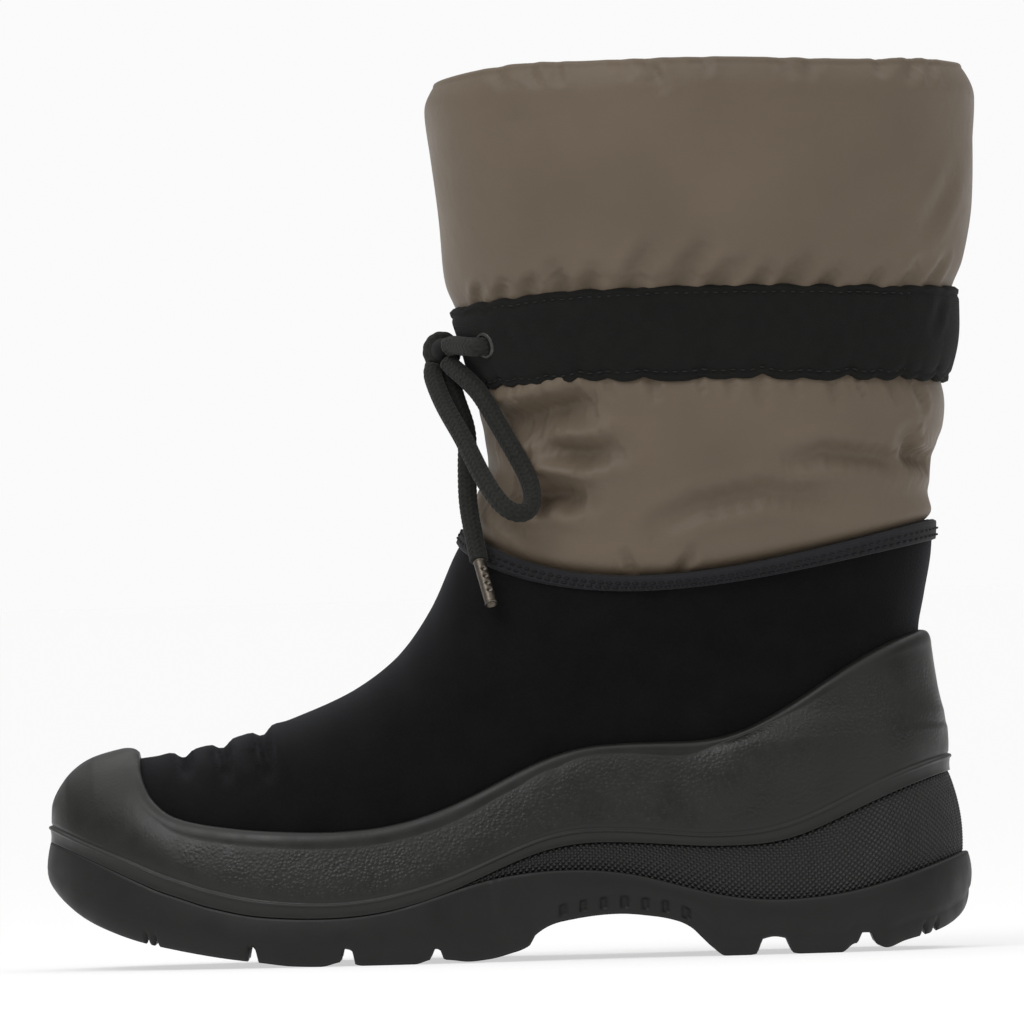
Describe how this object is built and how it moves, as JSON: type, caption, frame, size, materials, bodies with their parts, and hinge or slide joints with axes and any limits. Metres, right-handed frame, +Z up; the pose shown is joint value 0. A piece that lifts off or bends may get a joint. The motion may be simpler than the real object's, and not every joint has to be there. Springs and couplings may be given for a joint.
{
  "type": "winter boot",
  "caption": "Short winter boot with moulded shell and lugged sole, textile foot, padded shaft and cuff, and a drawcord band tied in front.",
  "frame": {"origin": "on the floor, below the middle of the boot's box without the bow of the drawcord", "axes": "+Z up, toe to -X, heel to +X, outer side of the foot to -Y"},
  "size_m": [0.294, 0.1144, 0.2767],
  "materials": {
    "outsole_rubber": "satin dark grey rubber",
    "insert_rubber": "fine raised pattern, matte dark grey",
    "shell_rubber": "satin dark grey with a leather-like grain",
    "upper_textile": "matte black napped textile",
    "insole_felt": "grey felt",
    "binding_tape": "woven dark tape with two rows of stitching",
    "shaft_nylon": "padded taupe nylon with a soft sheen",
    "band_cloth": "black woven cloth",
    "eyelet_metal": "dull grey metal",
    "cord_braid": "round braided cord"
  },
  "bodies": {
    "root": {"outsole": "outsole_rubber", "heel_wedge": "insert_rubber", "shell": "shell_rubber", "upper": "upper_textile", "insole": "insole_felt", "binding": "binding_tape", "shaft": "shaft_nylon", "drawcord_band": "band_cloth", "cuff": "shaft_nylon", "eyelet_near": "eyelet_metal", "eyelet_far": "eyelet_metal", "drawcord_bar_near": "cord_braid", "drawcord_bar_far": "cord_braid", "drawcord_knot": "cord_braid", "drawcord_loop_near": "cord_braid", "drawcord_loop_far": "cord_braid", "drawcord_end_near": "cord_braid", "drawcord_end_far": "cord_braid", "aglet_near": "eyelet_metal", "aglet_far": "eyelet_metal"}
  },
  "joints": []
}
